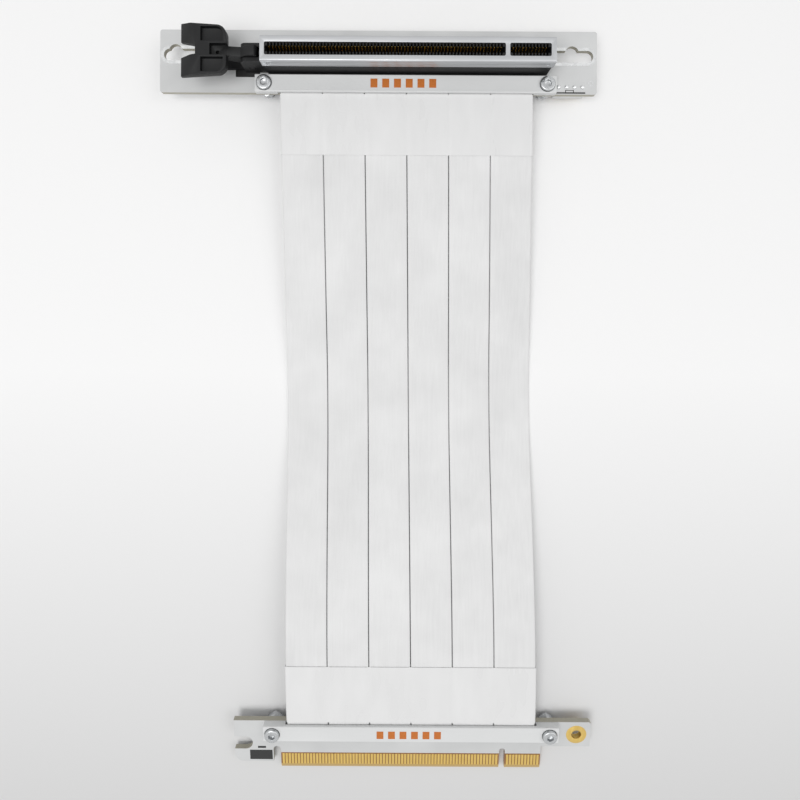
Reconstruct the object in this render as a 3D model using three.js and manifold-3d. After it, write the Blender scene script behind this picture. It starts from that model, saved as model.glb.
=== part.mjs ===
// Riser cable for a graphics card: a slot board and a plug board joined by six flat ribbons.
// Millimetres, +X along the boards, +Y from the plug board to the slot board, +Z up.
// The origin is the middle of the footprint, on the surface that the cable lies on.

import * as THREE from 'three';
import { mergeVertices } from 'three/addons/utils/BufferGeometryUtils.js';
import Module from 'manifold-3d';

const wasm = await Module();
wasm.setup();

// Both circuit boards
const boardThickness = 1.6;
const plating = 0.05; // copper and its plating stand this proud of the laminate
const boardsApart = 202.65; // between the boards' ribbon edges
const seatGap = 0.02; // between faces that touch
const looseFit = 0.15; // round a screw, a leg or a peg in its hole

// Slot board
const slotBoardLength = 139.3;
const slotBoardDepth = 20.05;
const slotBoardCorner = 0.8;
const mountSlotWidth = 3.8;
const mountSlotEdge = 1.2; // from the board's end to the slot's round end
const mountSlotLength = 13.6;
const mountSlotY = 12.05; // from the ribbon edge
const mountHoleRadius = 2.1; // the round hole that each slot runs into
const mountHoleY = 13.3;
const mountHoleLeftX = -64.7;
const mountHoleRightX = 61.7;
const landMargin = 1.0; // tinned land round each mounting slot
const landEdge = 0.25; // from the land to the board's end

// Card slot on the slot board, heights from the board's top face
const slotLength = 88.9;
const slotCentreX = 9.3;
const slotWidth = 7.7;
const slotHeight = 11.6;
const slotFromBar = 0.25;
const cardLineOffset = 3.75; // from the slot's near wall to the middle of the card
const cardThickness = 1.8;
const cardDepth = 8.4;
const cardEndMargin = 1.5; // from the slot's end to the card recess
const cardLongLength = 72.0;
const cardKeyLength = 1.6;
const cardShortLength = 12.1;
const contactPitch = 1.0;
const contactsLong = 71;
const contactsShort = 11;
const contactCavityWidth = 0.6;
const contactCavityDepth = 0.9;
const pegRadius = 1.1;
const pegLength = 2.2;

// Steel shield over the slot
const shieldSheet = 0.3;
const shieldGap = 0.05;
const shieldSkirt = 4.05;
const shieldBend = 0.5;
const openingWidth = 3.9;
const openingGrow = 0.15; // each opening passes its card recess by this
const openingCorner = 0.5;
const dimpleInset = 2.1; // from the slot's end
const dimpleBelowTop = 2.3;
const dimpleRadius = 0.7;
const dimpleDepth = 0.25; // into the housing, where it holds the shield
const dimpleFit = 0.15;

// Latch ears at the slot's left end
const earLength = 6.85;
const earThickness = 1.1;
const earGap = 3.3;
const earHeight = 8.8;
const earRound = 2.0;
const earFloor = 1.2;
const footLength = 6.5;
const footWidth = 4.0;

// Latch, x from the slot's left end, heights from the board's top face
const pivotFromSlot = 4.05;
const pivotHeight = 3.4;
const pivotRadius = 1.0;
const pivotFit = 0.1;
const barrelRadius = 2.0;
const armWidth = 3.0;
const paddleLength = 14.0;
const paddleFromSlot = 10.15;
const paddleBottom = 8.4;
const paddleThickness = 2.6;
const paddleInnerWidth = 14.5;
const paddleOuterWidth = 15.9;
const paddleRound = 3.0;
const tailNotchDepth = 4.65;
const tailNotchMouth = 4.7;
const tailNotchRoot = 3.05;
const ridgeStart = 7.7; // ridge across the paddle, from its inner edge
const ridgeWidth = 3.0;
const tailSlope = 1.4; // the outer edge is this much lower than the ridge
const pocketDepth = 1.6;
const pocketEndWall = 1.0;
const pocketSideWall = 0.5;
const pocketRound = 2.2;
const pocketMiddle = 2.4; // from the middle line to each pocket
const thumbRecessLength = 5.0;
const thumbRecessWidth = 3.4;
const thumbRecessDepth = 1.9;
const thumbHoleRadius = 0.55;

// Clamp bars, with their screws and nuts
const barLength = 95.1;
const barWidth = 5.5;
const barHeight = 2.4;
const slotBarY = 2.4; // middle of the bar, from the slot board's ribbon edge
const plugBarY = 15.2; // from the plug board's finger end
const barChamfer = 0.25;
const slotBarX = 8.7;
const plugBarX = 57.65; // from the plug board's left end
const barScrewFromEnd = 2.9;
const channelSide = 0.7; // room beside the ribbons
const channelHeight = 1.3;
const counterboreDepth = 0.55;
const counterboreFit = 0.15;
const screwRadius = 1.25;
const screwChamfer = 0.25;
const screwHeadRadius = 2.35;
const screwHeadHeight = 1.5;
const screwSocketFlats = 2.0;
const screwSocketDepth = 0.9;
const slotScrewLength = 10;
const plugScrewLength = 6;
const nutFlats = 5.0;
const nutHeight = 2.0;
const threadFit = 0.06;

// Four-pin header under the slot board
const headerCentreX = 61.35;
const headerLength = 9.9;
const headerDepth = 5.8;
const headerFromEdge = 0.4;
const headerBase = 3.2;
const headerRampLength = 7.0;
const headerRampThickness = 1.0;
const headerHeight = 6.4;
const headerPins = 4;
const pinPitch = 2.54;
const pinWidth = 0.64;
const pinFromEdge = 2.4;
const pinBelow = 6.0;
const pinAbove = 0.5;
const pinTaper = 0.2;
const pinFit = 0.06;

// Plug board, x from its left end, y from its finger end
const plugBoardDepth = 18.0;
const hookWidth = 12.65;
const hookBottom = 2.25;
const hookRound = 3.0;
const reliefWidth = 2.45;
const reliefTop = 8.15;
const fingersLongWidth = 71.65;
const keyWidth = 1.9;
const keyTop = 7.7;
const fingersShortWidth = 11.65;
const wingWidth = 16.0;
const wingBottom = 8.7;
const wingChamfer = 0.7;
const sideNotchDepth = 5.95;
const sideNotchBottom = 7.1;
const sideNotchWidth = 4.7;
const bevelRun = 1.0;
const bevelDrop = 0.35;
const fingerWidth = 0.7;
const fingerTop = 5.35;
const ringCentreFromRight = 4.65;
const ringCentreY = 13.3;
const ringRadius = 3.3;
const ringHoleRadius = 1.6;

// Ribbons and the film that bands them
const ribbonCount = 6;
const ribbonPitch = 13.35;
const ribbonWidth = 13.1;
const ribbonThickness = 0.9;
const ribbonEdge = 0.25;
const ribbonCentreX = 8.95; // at the slot board
const ribbonDrift = 2.65; // at the plug board the ribbons are this much further right
const ribbonSteps = 40;
const filmThickness = 0.2;
const filmFit = 0.1;
const filmLength = 19.0;
const filmFromSlotBoard = 0.6;
const filmFromPlugBoard = 0.55;
const filmSteps = 6;

// Middle line of the ribbons from the slot board's clamp to the plug board's, as y and z
const ribbonRoute = [
  [104.9, 8.75], [102.5, 8.75], [99.5, 8.72], [95, 8.55], [88, 8.1], [82, 7.65], [70, 6.7], [58, 5.65],
  [46, 4.5], [34, 3.4], [24, 2.3], [16, 1.4], [8, 0.85], [0, 0.75], [-8, 0.95], [-16, 1.6], [-26, 2.7],
  [-38, 4.2], [-50, 5.6], [-62, 6.8], [-70, 7.3], [-77.5, 7.5], [-85, 7.3], [-92, 6.9], [-98, 6.25],
  [-102.3, 5.46], [-105, 4.95], [-107.5, 4.47],
];

// Worked out from the values above
const slotLeft = slotCentreX - slotLength / 2;
const slotRight = slotCentreX + slotLength / 2;
const slotNear = slotBarY + barWidth / 2 + slotFromBar;
const slotFar = slotNear + slotWidth;
const cardLine = slotNear + cardLineOffset;
const boardTop = boardThickness;
const underHead = barHeight - counterboreDepth;
const headSeat = boardThickness + underHead + 2 * seatGap;
const slotBoardLift = slotScrewLength - headSeat;
const plugTail = plugScrewLength - headSeat;
const plugBoardLength = hookWidth + reliefWidth + fingersLongWidth + keyWidth + fingersShortWidth + wingWidth;
const plugTilt = Math.atan((plugTail - plating) / (plugBarY - bevelRun - screwRadius + screwChamfer));
const plugReach = (plugBoardDepth - bevelRun) * Math.cos(plugTilt) - boardTop * Math.sin(plugTilt);
const plugNose = bevelRun * Math.cos(plugTilt) + (boardThickness - bevelDrop) * Math.sin(plugTilt);
const overallLength = slotBoardDepth + boardsApart + plugReach + plugNose;
const slotBoardY = overallLength / 2 - slotBoardDepth;
const plugHeelY = slotBoardY - boardsApart - plugReach;
const screwSpread = barLength / 2 - barScrewFromEnd;
const plugBoardX = ribbonCentreX + ribbonDrift - plugBarX;
const stackWidth = ribbonCount * ribbonPitch - (ribbonPitch - ribbonWidth);

// Solids

function toSolid(geometry) {
  const bare = geometry.clone();
  bare.deleteAttribute('normal');
  bare.deleteAttribute('uv');
  const merged = mergeVertices(bare, 1e-5);
  const corners = Array.from(merged.index.array);
  const faces = [];
  for (let i = 0; i < corners.length; i += 3) {
    const [a, b, c] = corners.slice(i, i + 3);
    if (a !== b && b !== c && c !== a) faces.push(a, b, c);
  }
  return new wasm.Manifold(new wasm.Mesh({
    numProp: 3,
    vertProperties: new Float32Array(merged.attributes.position.array),
    triVerts: new Uint32Array(faces),
  }));
}

function toGeometry(solid) {
  const mesh = solid.getMesh();
  const geometry = new THREE.BufferGeometry();
  geometry.setAttribute('position', new THREE.BufferAttribute(new Float32Array(mesh.vertProperties), 3));
  geometry.setIndex(new THREE.BufferAttribute(new Uint32Array(mesh.triVerts), 1));
  geometry.computeVertexNormals();
  return geometry;
}

const join = (solids) => wasm.Manifold.union(solids);

function block(x0, x1, y0, y1, z0, z1) {
  const geometry = new THREE.BoxGeometry(x1 - x0, y1 - y0, z1 - z0);
  geometry.translate((x0 + x1) / 2, (y0 + y1) / 2, (z0 + z1) / 2);
  return toSolid(geometry);
}

// Upright prism of an outline in x and y
function plate(shape, z0, z1, curveSegments = 6) {
  const geometry = new THREE.ExtrudeGeometry(shape, { depth: z1 - z0, bevelEnabled: false, curveSegments });
  geometry.translate(0, 0, z0);
  return toSolid(geometry);
}

// Prism along x of an outline in y and z
function alongX(shape, x0, x1, curveSegments = 4) {
  const geometry = new THREE.ExtrudeGeometry(shape, { depth: x1 - x0, bevelEnabled: false, curveSegments });
  const turn = new THREE.Matrix4().makeBasis(
    new THREE.Vector3(0, 1, 0), new THREE.Vector3(0, 0, 1), new THREE.Vector3(1, 0, 0));
  geometry.applyMatrix4(turn);
  geometry.translate(x0, 0, 0);
  return toSolid(geometry);
}

// Prism along y of an outline in x and z
function alongY(shape, y0, y1, curveSegments = 6) {
  const geometry = new THREE.ExtrudeGeometry(shape, { depth: y1 - y0, bevelEnabled: false, curveSegments });
  geometry.rotateX(Math.PI / 2);
  geometry.translate(0, y1, 0);
  return toSolid(geometry);
}

function outline(points) {
  return new THREE.Shape(points.map(([x, y]) => new THREE.Vector2(x, y)));
}

function roundedRect(x0, x1, y0, y1, radius) {
  const shape = new THREE.Shape();
  shape.moveTo(x0 + radius, y0);
  shape.absarc(x1 - radius, y0 + radius, radius, -Math.PI / 2, 0, false);
  shape.absarc(x1 - radius, y1 - radius, radius, 0, Math.PI / 2, false);
  shape.absarc(x0 + radius, y1 - radius, radius, Math.PI / 2, Math.PI, false);
  shape.absarc(x0 + radius, y0 + radius, radius, Math.PI, Math.PI * 1.5, false);
  return shape;
}

function drum(x, y, radius, z0, z1, sides = 16) {
  const geometry = new THREE.CylinderGeometry(radius, radius, z1 - z0, sides);
  geometry.rotateX(Math.PI / 2);
  geometry.translate(x, y, (z0 + z1) / 2);
  return toSolid(geometry);
}

// Pin or bore along y
function crossDrum(x, z, radius, y0, y1, sides = 16) {
  const geometry = new THREE.CylinderGeometry(radius, radius, y1 - y0, sides);
  geometry.translate(x, (y0 + y1) / 2, z);
  return toSolid(geometry);
}

function revolve(profile, sides) {
  return toSolid(new THREE.LatheGeometry(profile.map(([r, z]) => new THREE.Vector2(r, z)), sides).rotateX(Math.PI / 2));
}

// Slot board

const dimplePlaces = [slotLeft + dimpleInset, slotRight - dimpleInset];
const dimpleZ = boardTop + slotHeight - dimpleBelowTop;
const pegPlaces = [
  slotLeft + cardEndMargin + cardLongLength + cardKeyLength / 2,
  slotLeft + pegRadius * 2,
];
const pinPlaces = Array.from({ length: headerPins }, (_, i) => headerCentreX + (i - (headerPins - 1) / 2) * pinPitch);

function mountSlots(grow, z0, z1) {
  const half = mountSlotWidth / 2 + grow;
  const near = mountSlotY - half;
  const far = mountSlotY + half;
  const edge = slotBoardLength / 2 - mountSlotEdge + (grow ? mountSlotEdge - landEdge : 0);
  const inner = slotBoardLength / 2 - mountSlotEdge - mountSlotLength - grow;
  return [
    plate(roundedRect(-edge, -inner, near, far, half - 0.01), z0, z1, 6),
    plate(roundedRect(inner, edge, near, far, half - 0.01), z0, z1, 6),
  ];
}

function mountHoles(z0, z1) {
  return [mountHoleLeftX, mountHoleRightX].map((x) => drum(x, mountHoleY, mountHoleRadius, z0, z1, 24));
}

function slotBoard() {
  const half = slotBoardLength / 2;
  const body = plate(roundedRect(-half, half, 0, slotBoardDepth, slotBoardCorner), 0, boardTop);
  const lands = [
    ...mountSlots(landMargin, boardTop - plating, boardTop + plating),
    ...mountSlots(landMargin, -plating, plating),
  ];
  const holes = [...mountSlots(0, -1, boardTop + 1), ...mountHoles(-1, boardTop + 1)];
  for (const side of [-1, 1]) {
    holes.push(drum(slotBarX + side * screwSpread, slotBarY, screwRadius + looseFit, -1, boardTop + 1));
  }
  for (const x of pegPlaces) holes.push(drum(x, cardLine, pegRadius + looseFit, -1, boardTop + 1));
  for (const x of pinPlaces) holes.push(drum(x, pinFromEdge, pinWidth * 0.8 + pinFit, -1, boardTop + 1, 12));
  return join([body, ...lands]).subtract(join(holes));
}

// Card slot with its contact cavities and the ears that hold the latch

function cardRecess(x0, length, contacts) {
  const half = cardThickness / 2;
  const deep = half + contactCavityDepth;
  const first = x0 + (length - (contacts - 1) * contactPitch) / 2;
  const side = [];
  for (let i = 0; i < contacts; i += 1) {
    const left = first + i * contactPitch - contactCavityWidth / 2;
    const right = left + contactCavityWidth;
    side.push([left, half], [left, deep], [right, deep], [right, half]);
  }
  const upper = side.map(([x, y]) => [x, cardLine + y]);
  const lower = side.map(([x, y]) => [x, cardLine - y]);
  return outline([
    [x0, cardLine + half], ...upper, [x0 + length, cardLine + half],
    [x0 + length, cardLine - half], ...lower.reverse(), [x0, cardLine - half],
  ].reverse());
}

function slotHousing() {
  const base = boardTop + seatGap;
  const top = boardTop + slotHeight - shieldSheet - shieldGap;
  const inside = shieldSheet + shieldGap;
  const body = join([
    block(slotLeft + inside, slotRight - inside, slotNear + inside, slotFar - inside, base, top),
    ...ears(base),
    ...pegPlaces.map((x) => drum(x, cardLine, pegRadius, base - pegLength, base + pegLength)),
  ]);
  const floor = top - cardDepth;
  const longStart = slotLeft + cardEndMargin;
  const shortStart = longStart + cardLongLength + cardKeyLength;
  const recesses = [
    plate(cardRecess(longStart, cardLongLength, contactsLong), floor, top + 1),
    plate(cardRecess(shortStart, cardShortLength, contactsShort), floor, top + 1),
  ];
  const pocketRadius = dimpleRadius + dimpleFit;
  const pocketDepth = inside - shieldGap + dimpleDepth + dimpleFit;
  const pockets = dimplePlaces.flatMap((x) => [
    crossDrum(x, dimpleZ, pocketRadius, slotNear - 1, slotNear + pocketDepth, 12),
    crossDrum(x, dimpleZ, pocketRadius, slotFar - pocketDepth, slotFar + 1, 12),
  ]);
  return body.subtract(join([...recesses, ...pockets]));
}

function ears(base) {
  const left = slotLeft - earLength;
  const right = slotLeft + cardEndMargin / 2;
  const top = boardTop + earHeight;
  const profile = new THREE.Shape();
  profile.moveTo(left, base);
  profile.lineTo(right, base);
  profile.lineTo(right, top);
  profile.absarc(left + earRound, top - earRound, earRound, Math.PI / 2, Math.PI, false);
  const inner = earGap / 2;
  const outer = inner + earThickness;
  const pivotX = slotLeft - pivotFromSlot;
  const pivotZ = boardTop + pivotHeight;
  const walls = join([
    alongY(profile, cardLine - outer, cardLine - inner),
    alongY(profile, cardLine + inner, cardLine + outer),
  ]).subtract(crossDrum(pivotX, pivotZ, pivotRadius + pivotFit, cardLine - outer - 1, cardLine + outer + 1));
  return [
    walls,
    block(left, right, cardLine - outer, cardLine + outer, base, base + earFloor),
    block(left - footLength, left + 1, cardLine - footWidth / 2, cardLine + footWidth / 2, base, base + earFloor),
  ];
}

// Folded steel cap with two card openings, held by dimples in its skirts

function slotShield() {
  const top = boardTop + slotHeight;
  const bottom = top - shieldSkirt;
  const shell = new THREE.Shape();
  shell.moveTo(slotNear, bottom);
  shell.lineTo(slotFar, bottom);
  shell.absarc(slotFar - shieldBend, top - shieldBend, shieldBend, 0, Math.PI / 2, false);
  shell.absarc(slotNear + shieldBend, top - shieldBend, shieldBend, Math.PI / 2, Math.PI, false);
  const solid = alongX(shell, slotLeft, slotRight);
  const hollow = block(slotLeft - 1, slotRight + 1, slotNear + shieldSheet, slotFar - shieldSheet, bottom - 1,
    top - shieldSheet);
  const near = cardLine - openingWidth / 2;
  const far = cardLine + openingWidth / 2;
  const longStart = slotLeft + cardEndMargin;
  const longEnd = longStart + cardLongLength;
  const shortStart = longEnd + cardKeyLength;
  const shortEnd = shortStart + cardShortLength;
  const openings = [[longStart, longEnd], [shortStart, shortEnd]].map(([x0, x1]) => plate(
    roundedRect(x0 - openingGrow, x1 + openingGrow, near, far, openingCorner), bottom, top + 1, 4));
  const inward = shieldSheet + dimpleDepth;
  const bumps = dimplePlaces.flatMap((x) => [
    crossDrum(x, dimpleZ, dimpleRadius, slotNear + shieldSheet / 2, slotNear + inward, 12),
    crossDrum(x, dimpleZ, dimpleRadius, slotFar - inward, slotFar - shieldSheet / 2, 12),
  ]);
  const dentRadius = dimpleRadius - shieldSheet / 2;
  const dents = dimplePlaces.flatMap((x) => [
    crossDrum(x, dimpleZ, dentRadius, slotNear - 1, slotNear + dimpleDepth, 12),
    crossDrum(x, dimpleZ, dentRadius, slotFar - dimpleDepth, slotFar + 1, 12),
  ]);
  return join([solid.subtract(join([hollow, ...openings])), ...bumps]).subtract(join(dents));
}

// Retention latch, moulded in one piece with its two trunnions

function slotLatch() {
  const inner = slotLeft - paddleFromSlot;
  const outer = inner - paddleLength;
  const bottom = boardTop + paddleBottom;
  const top = bottom + paddleThickness;
  const innerHalf = paddleInnerWidth / 2;
  const outerHalf = paddleOuterWidth / 2;
  const tail = new THREE.Shape();
  tail.moveTo(outer, cardLine - outerHalf);
  tail.lineTo(inner - paddleRound, cardLine - innerHalf);
  tail.absarc(inner - paddleRound, cardLine - innerHalf + paddleRound, paddleRound, -Math.PI / 2, 0, false);
  tail.absarc(inner - paddleRound, cardLine + innerHalf - paddleRound, paddleRound, 0, Math.PI / 2, false);
  tail.lineTo(outer, cardLine + outerHalf);
  tail.lineTo(outer, cardLine + tailNotchMouth / 2);
  tail.lineTo(outer + tailNotchDepth, cardLine + tailNotchRoot / 2);
  tail.lineTo(outer + tailNotchDepth, cardLine - tailNotchRoot / 2);
  tail.lineTo(outer, cardLine - tailNotchMouth / 2);
  const paddle = plate(tail, bottom, top);

  const ridgeOuter = inner - ridgeStart - ridgeWidth;
  const slope = alongY(outline([
    [outer - 1, top - tailSlope * (1 + 1 / (ridgeOuter - outer))], [ridgeOuter, top], [ridgeOuter, top + 1],
    [outer - 1, top + 1],
  ]), cardLine - outerHalf - 1, cardLine + outerHalf + 1);
  const pocketEnd = inner - pocketEndWall;
  const pocketSide = innerHalf - pocketSideWall;
  const pocket = new THREE.Shape();
  pocket.moveTo(inner - ridgeStart, pocketMiddle);
  pocket.lineTo(pocketEnd, pocketMiddle);
  pocket.absarc(pocketEnd - pocketRound, pocketSide - pocketRound, pocketRound, 0, Math.PI / 2, false);
  pocket.lineTo(inner - ridgeStart, pocketSide);
  const pocketCut = plate(pocket, top - pocketDepth, top + 1);
  const cuts = [
    slope,
    pocketCut.translate([0, cardLine, 0]),
    pocketCut.mirror([0, 1, 0]).translate([0, cardLine, 0]),
    block(inner - thumbRecessLength, inner + 1, cardLine - thumbRecessWidth / 2, cardLine + thumbRecessWidth / 2,
      top - thumbRecessDepth, top + 1),
  ];

  const pivotX = slotLeft - pivotFromSlot;
  const pivotZ = boardTop + pivotHeight;
  const arm = alongY(outline([
    [inner - 7.7, bottom + 0.1], [inner - 6.2, bottom - 1.1], [inner - 0.9, bottom - 2.2],
    [pivotX - barrelRadius, pivotZ], [pivotX + barrelRadius, pivotZ], [pivotX + 2.0, pivotZ + 4.2],
    [pivotX + 2.8, pivotZ + 6.3], [pivotX + 2.0, pivotZ + 7.1], [pivotX - 0.2, pivotZ + 6.6],
    [pivotX - 2.4, pivotZ + 5.4], [inner - 0.2, bottom + 0.9], [inner - 1.4, bottom + 0.4],
    [inner - 2.4, bottom + 0.1],
  ]), cardLine - armWidth / 2, cardLine + armWidth / 2);
  const trunnionHalf = earGap / 2 + earThickness;
  const trunnion = crossDrum(pivotX, pivotZ, pivotRadius, cardLine - trunnionHalf, cardLine + trunnionHalf);
  const barrel = crossDrum(pivotX, pivotZ, barrelRadius, cardLine - armWidth / 2, cardLine + armWidth / 2);
  const thumbHole = drum(inner - 3.15, cardLine - 0.3, thumbHoleRadius, bottom - 3, top + 1, 10);
  return join([paddle.subtract(join(cuts)), arm, barrel, trunnion]).subtract(thumbHole);
}

// Clamp bar: a channel underneath passes the ribbons, and each end is screwed to the board

function clampBar() {
  const half = barWidth / 2;
  const section = outline([
    [-half, 0], [half, 0], [half, barHeight - barChamfer], [half - barChamfer, barHeight],
    [-half + barChamfer, barHeight], [-half, barHeight - barChamfer],
  ]);
  const channelHalf = stackWidth / 2 + channelSide;
  const cuts = [block(-channelHalf, channelHalf, -half - 1, half + 1, -1, channelHeight)];
  for (const side of [-1, 1]) {
    cuts.push(drum(side * screwSpread, 0, screwRadius + looseFit, -1, barHeight + 1));
    cuts.push(drum(side * screwSpread, 0, screwHeadRadius + counterboreFit, underHead, barHeight + 1, 24));
  }
  return alongX(section, -barLength / 2, barLength / 2).subtract(join(cuts));
}

function screw(length) {
  const dome = 0.35;
  const profile = [
    [0, -length], [screwRadius - screwChamfer, -length], [screwRadius, screwChamfer - length], [screwRadius, 0],
    [screwHeadRadius, 0], [screwHeadRadius, screwHeadHeight - dome],
    [screwHeadRadius - dome, screwHeadHeight], [0, screwHeadHeight],
  ];
  const socketRadius = screwSocketFlats / Math.sqrt(3);
  const socket = drum(0, 0, socketRadius, screwHeadHeight - screwSocketDepth, screwHeadHeight + 1, 6);
  return revolve(profile, 20).subtract(socket);
}

function nut() {
  const body = drum(0, 0, nutFlats / Math.sqrt(3), -nutHeight, 0, 6);
  return body.subtract(drum(0, 0, screwRadius + threadFit, -nutHeight - 1, 1));
}

// Header for the auxiliary lead: a base with a friction ramp, and loose pins pressed through it

function headerBody() {
  const half = headerLength / 2;
  const base = block(headerCentreX - half, headerCentreX + half, headerFromEdge, headerFromEdge + headerDepth,
    -headerBase, -seatGap);
  const ramp = block(headerCentreX - headerRampLength / 2, headerCentreX + headerRampLength / 2,
    headerFromEdge + headerDepth - headerRampThickness, headerFromEdge + headerDepth, -headerHeight, -headerBase / 2);
  const reach = pinWidth / 2 + pinFit;
  const holes = pinPlaces.map((x) => block(x - reach, x + reach, pinFromEdge - reach, pinFromEdge + reach,
    -headerHeight, 1));
  return join([base, ramp]).subtract(join(holes));
}

function headerPin() {
  const half = pinWidth / 2 - pinTaper / 2;
  const square = outline([[-half, -half], [half, -half], [half, half], [-half, half]]);
  const length = pinBelow + boardThickness + pinAbove - 2 * pinTaper;
  const geometry = new THREE.ExtrudeGeometry(square, {
    depth: length, bevelEnabled: true, bevelThickness: pinTaper, bevelSize: pinTaper / 2, bevelSegments: 1,
  });
  geometry.translate(0, 0, pinTaper - pinBelow);
  return toSolid(geometry);
}

// Plug board: hook, relief slot, two groups of gold fingers, key notch and a wing with a ground ring

function plugOutline() {
  const reliefLeft = hookWidth;
  const fingersLeft = hookWidth + reliefWidth;
  const keyLeft = fingersLeft + fingersLongWidth;
  const shortLeft = keyLeft + keyWidth;
  const wingLeft = shortLeft + fingersShortWidth;
  const notchRadius = sideNotchWidth / 2;
  const notchMiddle = sideNotchBottom + notchRadius;
  const shape = new THREE.Shape();
  shape.moveTo(hookRound, hookBottom);
  shape.lineTo(reliefLeft, hookBottom);
  shape.absarc(reliefLeft + reliefWidth / 2, reliefTop - reliefWidth / 2, reliefWidth / 2, Math.PI, 0, true);
  shape.lineTo(fingersLeft, 0);
  shape.lineTo(keyLeft, 0);
  shape.absarc(keyLeft + keyWidth / 2, keyTop - keyWidth / 2, keyWidth / 2, Math.PI, 0, true);
  shape.lineTo(shortLeft, 0);
  shape.lineTo(wingLeft, 0);
  shape.lineTo(wingLeft, wingBottom);
  shape.lineTo(plugBoardLength, wingBottom);
  shape.lineTo(plugBoardLength, plugBoardDepth - wingChamfer);
  shape.lineTo(plugBoardLength - wingChamfer, plugBoardDepth);
  shape.lineTo(0, plugBoardDepth);
  shape.lineTo(0, sideNotchBottom + sideNotchWidth);
  shape.absarc(sideNotchDepth - notchRadius, notchMiddle, notchRadius, Math.PI / 2, -Math.PI / 2, true);
  shape.lineTo(0, sideNotchBottom);
  shape.absarc(hookRound, hookBottom + hookRound, hookRound, Math.PI, Math.PI * 1.5, false);
  return shape;
}

function fingerPads() {
  const longLeft = hookWidth + reliefWidth;
  const shortLeft = longLeft + fingersLongWidth + keyWidth;
  const pads = [];
  for (const [left, width, count] of [[longLeft, fingersLongWidth, contactsLong],
    [shortLeft, fingersShortWidth, contactsShort]]) {
    const first = left + (width - (count - 1) * contactPitch) / 2 - fingerWidth / 2;
    for (let i = 0; i < count; i += 1) {
      const x = first + i * contactPitch;
      pads.push(block(x, x + fingerWidth, bevelRun, fingerTop, -plating, boardTop + plating));
    }
  }
  return pads;
}

function plugBoard() {
  const fingersLeft = hookWidth + reliefWidth;
  const wingLeft = plugBoardLength - wingWidth;
  const ringX = plugBoardLength - ringCentreFromRight;
  const bevel = (z, rise) => alongX(outline([[-1, z - rise * bevelDrop], [-1, z + rise],
    [bevelRun, z + rise], [bevelRun, z], [0, z - rise * bevelDrop]]), fingersLeft - 1, wingLeft + 1);
  const holes = [
    drum(ringX, ringCentreY, ringHoleRadius, -1, boardTop + 1, 20),
    drum(plugBarX - screwSpread, plugBarY, screwRadius + looseFit, -1, boardTop + 1),
    drum(plugBarX + screwSpread, plugBarY, screwRadius + looseFit, -1, boardTop + 1),
    bevel(boardTop, 1),
    bevel(0, -1),
  ];
  const body = join([
    plate(plugOutline(), 0, boardTop),
    drum(ringX, ringCentreY, ringRadius, -plating, boardTop + plating, 28),
    ...fingerPads(),
  ]);
  return body.subtract(join(holes)).translate([0, -bevelRun, 0]);
}

// Ribbons and film, swept along the same middle line

const middleLine = new THREE.CatmullRomCurve3(ribbonRoute.map(([y, z]) => new THREE.Vector3(0, y, z)));

function pointAt(y) {
  let low = 0;
  let high = 1;
  for (let i = 0; i < 40; i += 1) {
    const middle = (low + high) / 2;
    if (middleLine.getPoint(middle).y > y) low = middle;
    else high = middle;
  }
  return middleLine.getPoint(low);
}

function laneX(y) {
  const along = Math.min(1, Math.max(0, (slotBoardY - y) / boardsApart));
  return ribbonCentreX + ribbonDrift * along;
}

// Straight prism of a section in x and z, then laid along the middle line
function sweep(section, offset, yStart, yEnd, steps) {
  const geometry = new THREE.ExtrudeGeometry(section, { depth: 1, steps, bevelEnabled: false, curveSegments: 3 });
  const vertices = geometry.attributes.position;
  for (let i = 0; i < vertices.count; i += 1) {
    const y = yStart + (yEnd - yStart) * vertices.getZ(i);
    const centre = pointAt(y);
    const slope = pointAt(y + 0.5).sub(pointAt(y - 0.5)).normalize();
    const height = vertices.getY(i);
    vertices.setXYZ(i, laneX(y) + offset + vertices.getX(i), centre.y - slope.z * height,
      centre.z + slope.y * height);
  }
  return toSolid(geometry);
}

function ribbon(lane) {
  const halfWidth = ribbonWidth / 2;
  const halfThickness = ribbonThickness / 2;
  const section = outline([
    [-halfWidth, 0], [-halfWidth + ribbonEdge, -halfThickness], [halfWidth - ribbonEdge, -halfThickness],
    [halfWidth, 0], [halfWidth - ribbonEdge, halfThickness], [-halfWidth + ribbonEdge, halfThickness],
  ]);
  const offset = (lane - (ribbonCount - 1) / 2) * ribbonPitch;
  return sweep(section, offset, ribbonRoute[0][0], ribbonRoute[ribbonRoute.length - 1][0], ribbonSteps);
}

function filmBand(yStart) {
  const innerX = stackWidth / 2 + 2 * filmFit;
  const innerZ = ribbonThickness / 2 + filmFit;
  const outside = roundedRect(-innerX - filmThickness, innerX + filmThickness,
    -innerZ - filmThickness, innerZ + filmThickness, filmThickness);
  const inside = outline([[-innerX, -innerZ], [innerX, -innerZ], [innerX, innerZ], [-innerX, innerZ]]);
  const yEnd = yStart - filmLength;
  const sleeve = sweep(outside, 0, yStart + 1, yEnd - 1, filmSteps)
    .subtract(sweep(inside, 0, yStart + 1, yEnd - 1, filmSteps));
  return sleeve.intersect(block(-innerX * 2, innerX * 2, yEnd, yStart, -5, 15));
}

// Finishes

const finish = (color, roughness, metalness = 0) => new THREE.MeshStandardMaterial({ color, roughness, metalness });
const whiteBoard = finish(0xe9eaea, 0.35);
const whiteBar = finish(0xe2e3e3, 0.4);
const blackMoulding = finish(0x17181a, 0.5);
const brightSteel = finish(0xc9ccd0, 0.22, 0.95);
const nickelled = finish(0xb8bbbf, 0.3, 0.95);
const goldPlated = finish(0xd2ad5c, 0.3, 0.9);
const whiteJacket = finish(0xebecec, 0.6);
const whiteFilm = finish(0xf0f0f0, 0.35);

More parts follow.
